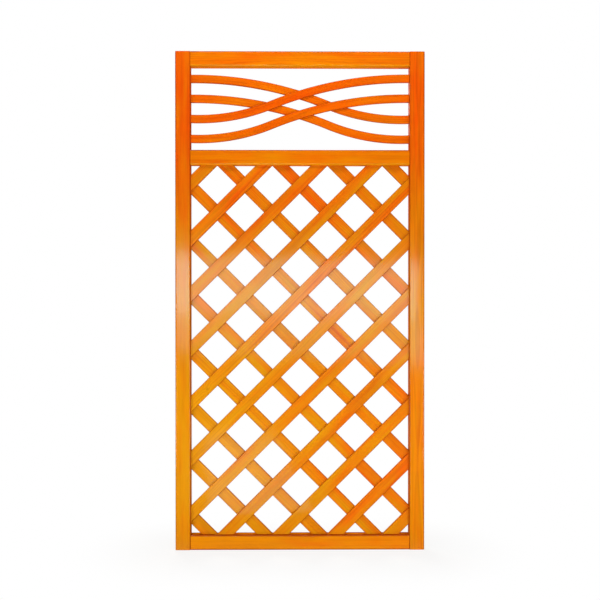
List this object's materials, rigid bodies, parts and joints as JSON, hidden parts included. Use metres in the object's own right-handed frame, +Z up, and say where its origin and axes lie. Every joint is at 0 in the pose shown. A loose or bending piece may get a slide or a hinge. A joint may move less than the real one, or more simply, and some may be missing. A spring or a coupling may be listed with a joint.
{
  "type": "plant trellis panel",
  "caption": "Tall rectangular wooden trellis panel for climbing plants: rounded timber frame, diagonal slat lattice below a middle rail, crossing wave-shaped slats above it.",
  "frame": {"origin": "under the middle of the panel, halfway through its thickness, on the plane of its bottom edge", "axes": "+X to the right seen from the front, +Y from the front to the back, +Z up along the stiles"},
  "size_m": [0.9, 0.04, 1.8],
  "materials": {
    "frame_timber": "orange-brown stain, satin, straight grain",
    "lattice_slat": "orange-brown stain, satin, straight grain",
    "bent_slat": "orange-brown stain, satin, grain along the bend",
    "staple_wire": "galvanised wire",
    "screw_steel": "yellow zinc plated"
  },
  "bodies": {
    "root": {"left_stile": "frame_timber", "right_stile": "frame_timber", "top_rail": "frame_timber", "middle_rail": "frame_timber", "bottom_rail": "frame_timber", "front_wave_upper": "bent_slat", "front_wave_lower": "bent_slat", "back_wave_upper": "bent_slat", "back_wave_lower": "bent_slat", "front_slat_1": "lattice_slat", "front_slat_2": "lattice_slat", "front_slat_3": "lattice_slat", "front_slat_4": "lattice_slat", "front_slat_5": "lattice_slat", "front_slat_6": "lattice_slat", "front_slat_7": "lattice_slat", "front_slat_8": "lattice_slat", "front_slat_9": "lattice_slat", "front_slat_10": "lattice_slat", "front_slat_11": "lattice_slat", "back_slat_1": "lattice_slat", "back_slat_2": "lattice_slat", "back_slat_3": "lattice_slat", "back_slat_4": "lattice_slat", "back_slat_5": "lattice_slat", "back_slat_6": "lattice_slat", "back_slat_7": "lattice_slat", "back_slat_8": "lattice_slat", "back_slat_9": "lattice_slat", "back_slat_10": "lattice_slat", "back_slat_11": "lattice_slat", "lattice_staples": "staple_wire", "wave_staples": "staple_wire", "frame_screws": "screw_steel"}
  },
  "joints": []
}
